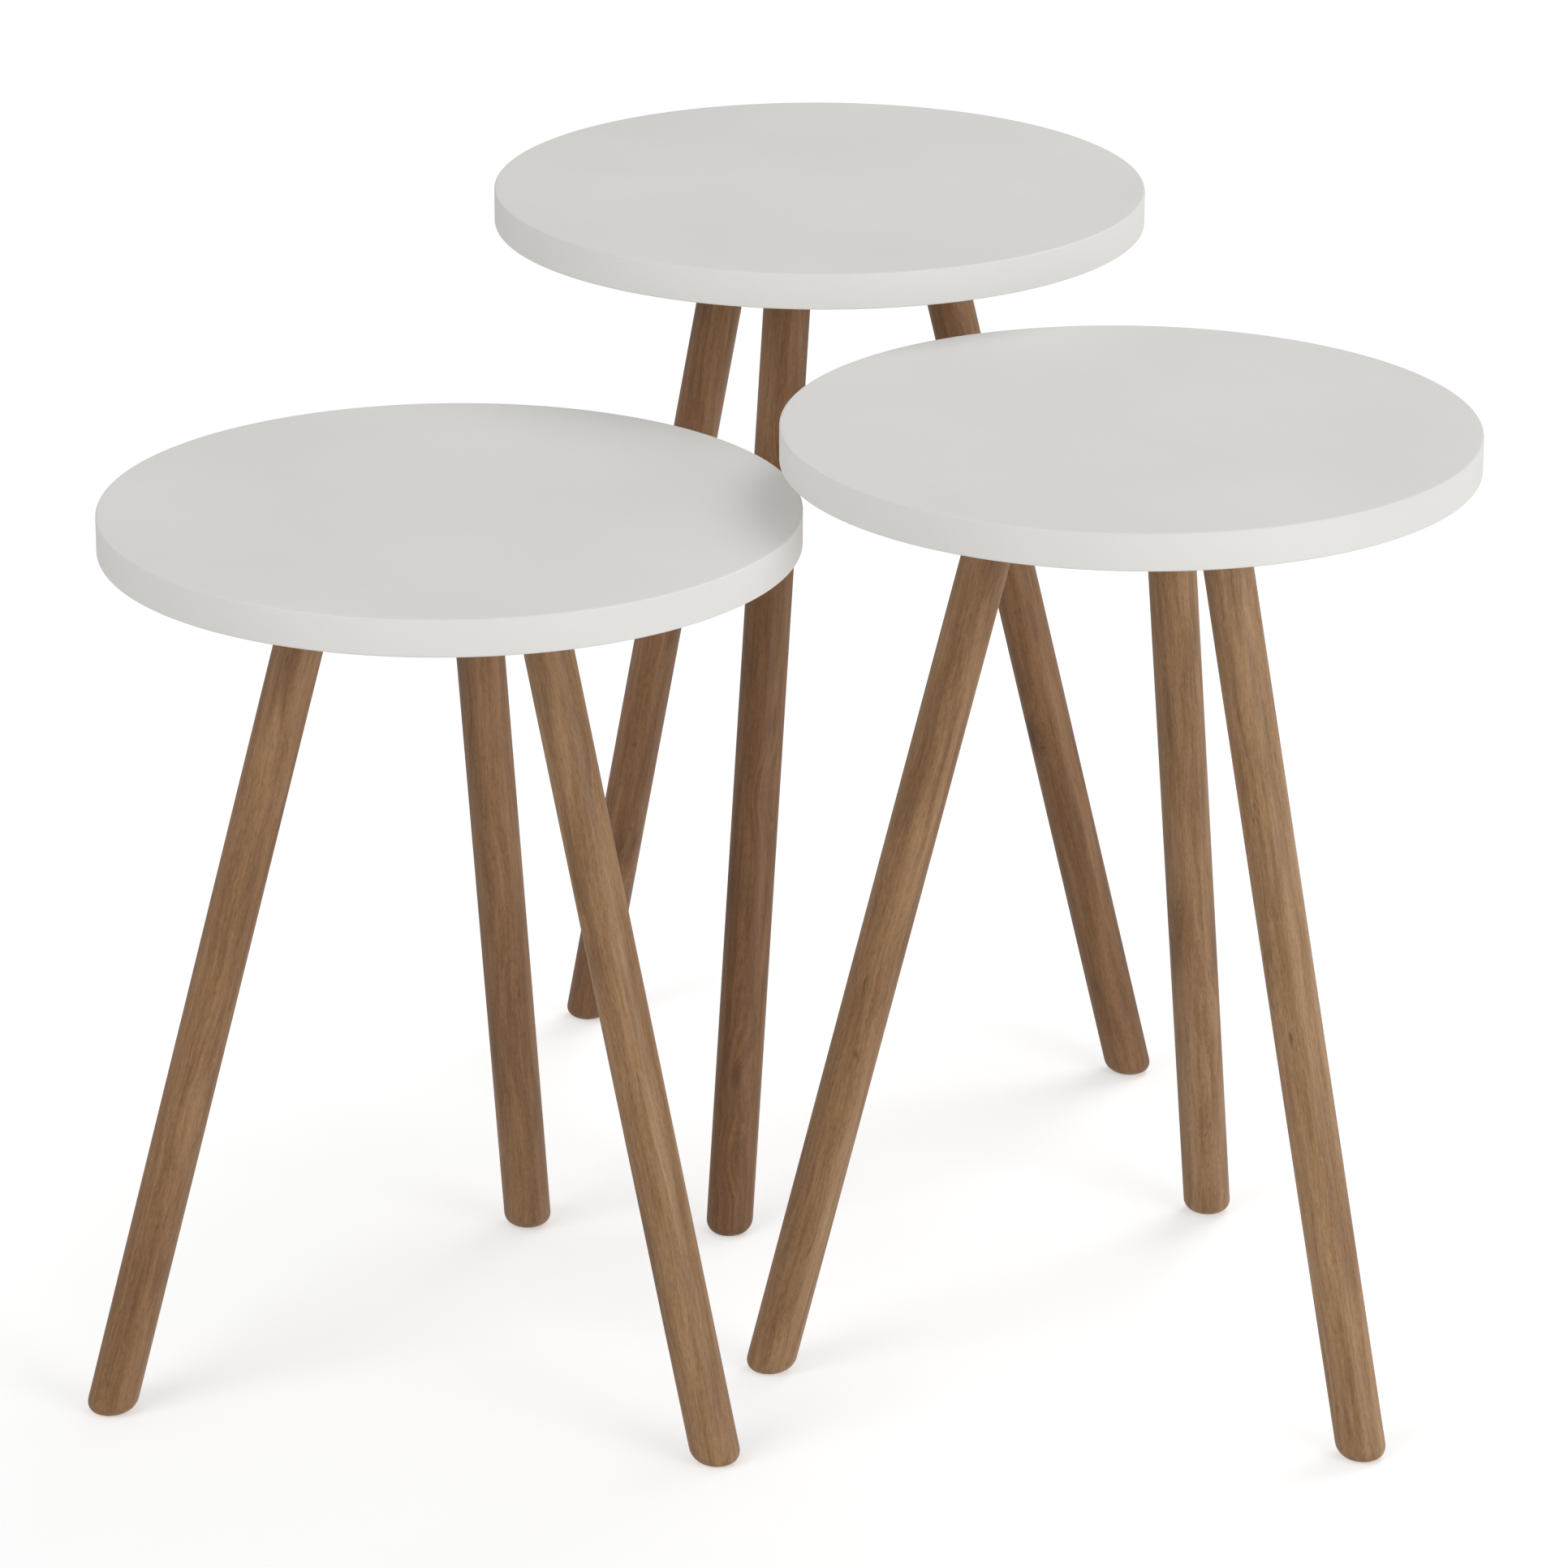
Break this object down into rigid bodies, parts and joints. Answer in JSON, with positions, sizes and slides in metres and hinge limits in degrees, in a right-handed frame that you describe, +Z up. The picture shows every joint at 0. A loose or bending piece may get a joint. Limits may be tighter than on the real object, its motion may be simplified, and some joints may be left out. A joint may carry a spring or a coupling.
{
  "type": "nesting tables",
  "caption": "Set of round side tables in stepped heights, white tops on splayed round wooden legs, that tuck under one another.",
  "frame": {"origin": "on the floor, under the middle of the bounding box of the whole set as it stands in the picture", "axes": "+Z up; +Y from the two front tables towards the tall table at the back; +X from the low table towards the middle-height one"},
  "size_m": [0.7007, 0.698, 0.535],
  "materials": {
    "white_board": "matte white lacquered board",
    "stained_wood": "brown stained wood with straight grain, matte varnish",
    "zinc_plated_steel": "zinc plated"
  },
  "bodies": {
    "tall_table": {"tall_top": "white_board", "tall_leg_1": "stained_wood", "tall_leg_1_plate": "zinc_plated_steel", "tall_leg_1_hanger_bolt": "zinc_plated_steel", "tall_leg_1_plate_screw_a": "zinc_plated_steel", "tall_leg_1_plate_screw_b": "zinc_plated_steel", "tall_leg_1_plate_screw_c": "zinc_plated_steel", "tall_leg_2": "stained_wood", "tall_leg_2_plate": "zinc_plated_steel", "tall_leg_2_hanger_bolt": "zinc_plated_steel", "tall_leg_2_plate_screw_a": "zinc_plated_steel", "tall_leg_2_plate_screw_b": "zinc_plated_steel", "tall_leg_2_plate_screw_c": "zinc_plated_steel", "tall_leg_3": "stained_wood", "tall_leg_3_plate": "zinc_plated_steel", "tall_leg_3_hanger_bolt": "zinc_plated_steel", "tall_leg_3_plate_screw_a": "zinc_plated_steel", "tall_leg_3_plate_screw_b": "zinc_plated_steel", "tall_leg_3_plate_screw_c": "zinc_plated_steel"},
    "mid_table": {"mid_top": "white_board", "mid_leg_1": "stained_wood", "mid_leg_1_plate": "zinc_plated_steel", "mid_leg_1_hanger_bolt": "zinc_plated_steel", "mid_leg_1_plate_screw_a": "zinc_plated_steel", "mid_leg_1_plate_screw_b": "zinc_plated_steel", "mid_leg_1_plate_screw_c": "zinc_plated_steel", "mid_leg_2": "stained_wood", "mid_leg_2_plate": "zinc_plated_steel", "mid_leg_2_hanger_bolt": "zinc_plated_steel", "mid_leg_2_plate_screw_a": "zinc_plated_steel", "mid_leg_2_plate_screw_b": "zinc_plated_steel", "mid_leg_2_plate_screw_c": "zinc_plated_steel", "mid_leg_3": "stained_wood", "mid_leg_3_plate": "zinc_plated_steel", "mid_leg_3_hanger_bolt": "zinc_plated_steel", "mid_leg_3_plate_screw_a": "zinc_plated_steel", "mid_leg_3_plate_screw_b": "zinc_plated_steel", "mid_leg_3_plate_screw_c": "zinc_plated_steel"},
    "low_table": {"low_top": "white_board", "low_leg_1": "stained_wood", "low_leg_1_plate": "zinc_plated_steel", "low_leg_1_hanger_bolt": "zinc_plated_steel", "low_leg_1_plate_screw_a": "zinc_plated_steel", "low_leg_1_plate_screw_b": "zinc_plated_steel", "low_leg_1_plate_screw_c": "zinc_plated_steel", "low_leg_2": "stained_wood", "low_leg_2_plate": "zinc_plated_steel", "low_leg_2_hanger_bolt": "zinc_plated_steel", "low_leg_2_plate_screw_a": "zinc_plated_steel", "low_leg_2_plate_screw_b": "zinc_plated_steel", "low_leg_2_plate_screw_c": "zinc_plated_steel", "low_leg_3": "stained_wood", "low_leg_3_plate": "zinc_plated_steel", "low_leg_3_hanger_bolt": "zinc_plated_steel", "low_leg_3_plate_screw_a": "zinc_plated_steel", "low_leg_3_plate_screw_b": "zinc_plated_steel", "low_leg_3_plate_screw_c": "zinc_plated_steel"}
  },
  "joints": [
    {"name": "mid_table_slide", "type": "slide", "parent": "tall_table", "child": "mid_table", "axis": [-0.4323, 0.9017, 0], "range_m": [-0.08, 0.11]},
    {"name": "low_table_slide", "type": "slide", "parent": "tall_table", "child": "low_table", "axis": [0.9968, 0.0796, 0], "range_m": [-0.15, 0.055]}
  ]
}
